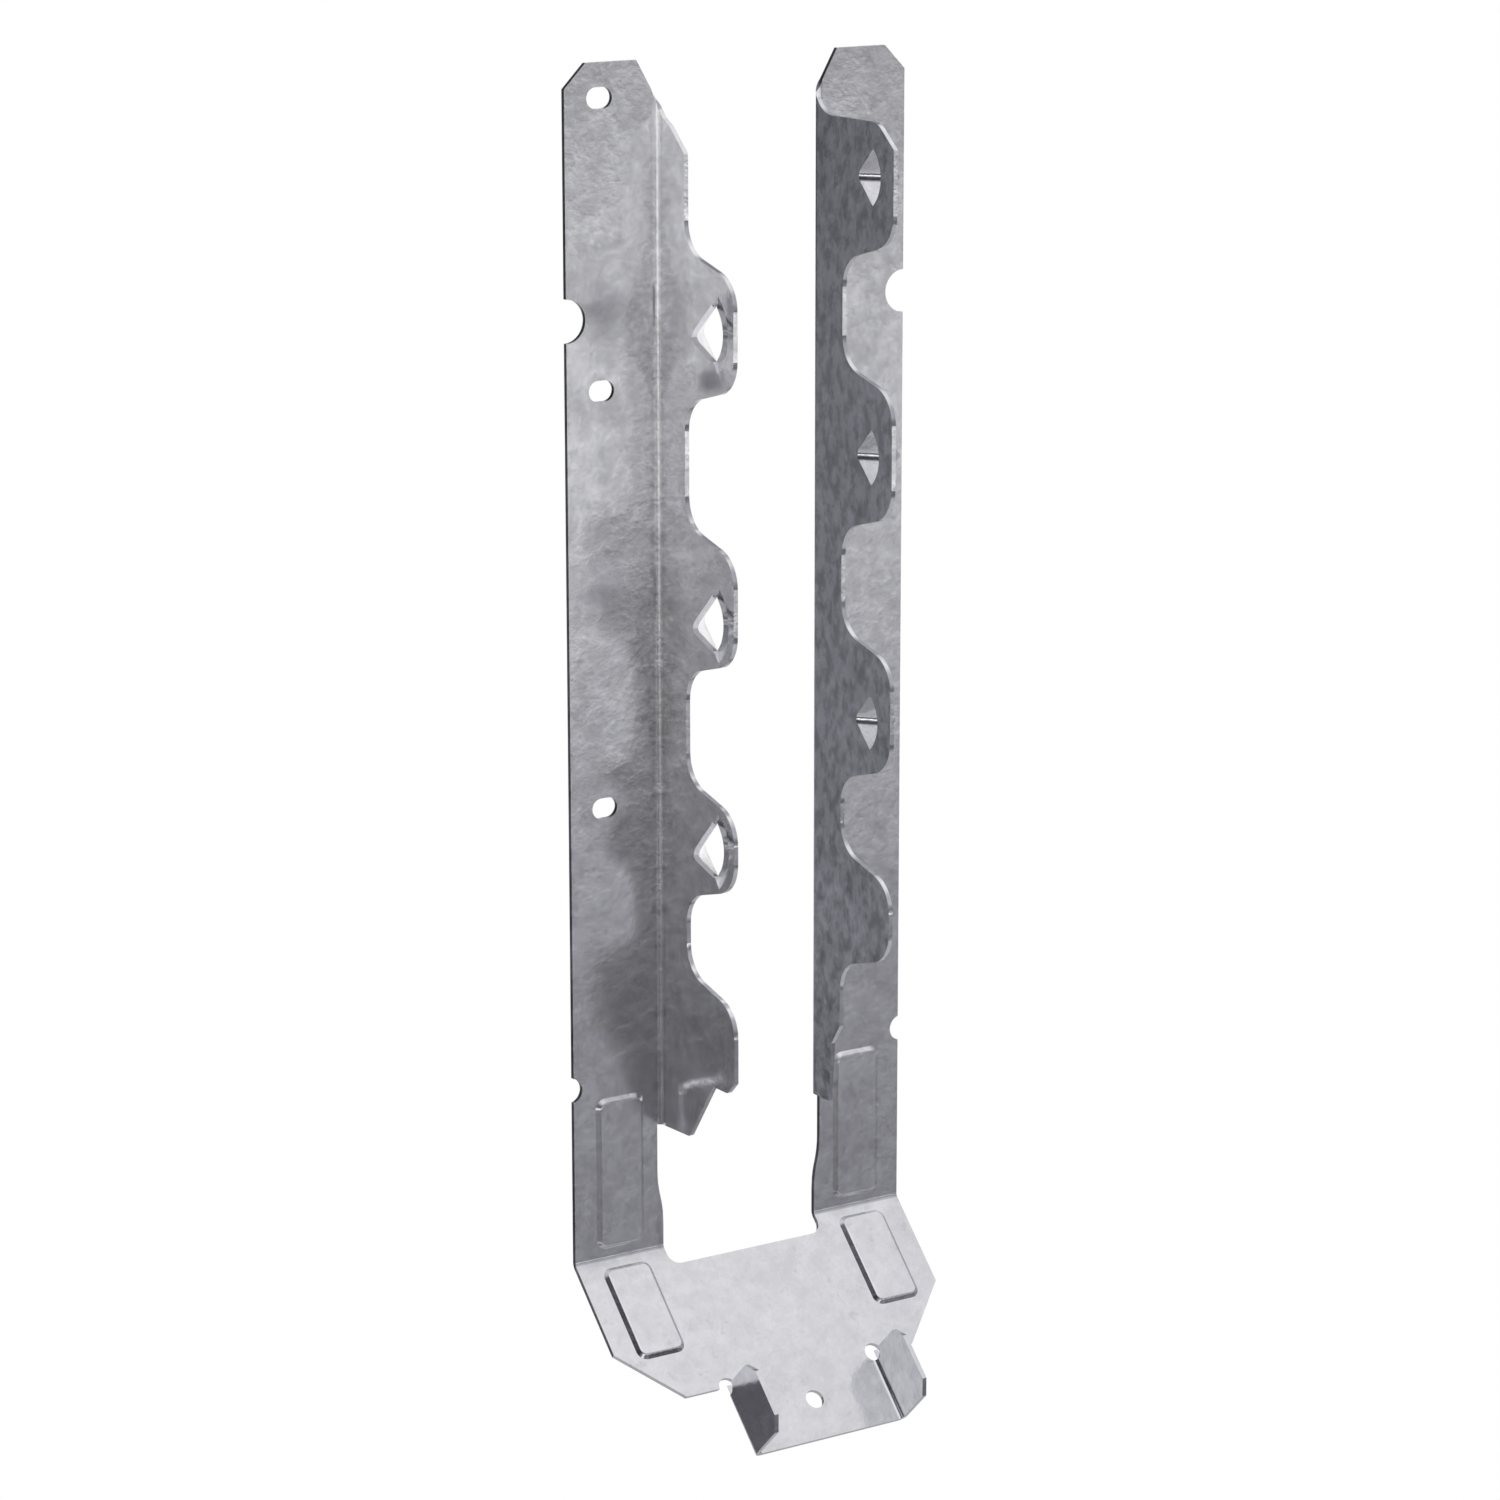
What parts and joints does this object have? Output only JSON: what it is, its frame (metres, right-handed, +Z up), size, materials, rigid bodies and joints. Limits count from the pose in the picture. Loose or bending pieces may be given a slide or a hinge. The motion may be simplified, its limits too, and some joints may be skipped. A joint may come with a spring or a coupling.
{
  "type": "joist hanger",
  "caption": "Face-mount joist hanger folded from one sheet, with wavy joist flanges, lanced nail guides and a sloping seat with two upright tabs.",
  "frame": {"origin": "midway between the two face plates, on their back plane, at the height where the plates meet the seat", "axes": "+X across the joist, to the right seen from the front; +Y into the header behind the plates; +Z up along the plates"},
  "size_m": [0.099, 0.0526, 0.3454],
  "materials": {
    "galvanised_steel": "bright galvanised, satin"
  },
  "bodies": {
    "root": {"joist_hanger": "galvanised_steel"}
  },
  "joints": []
}
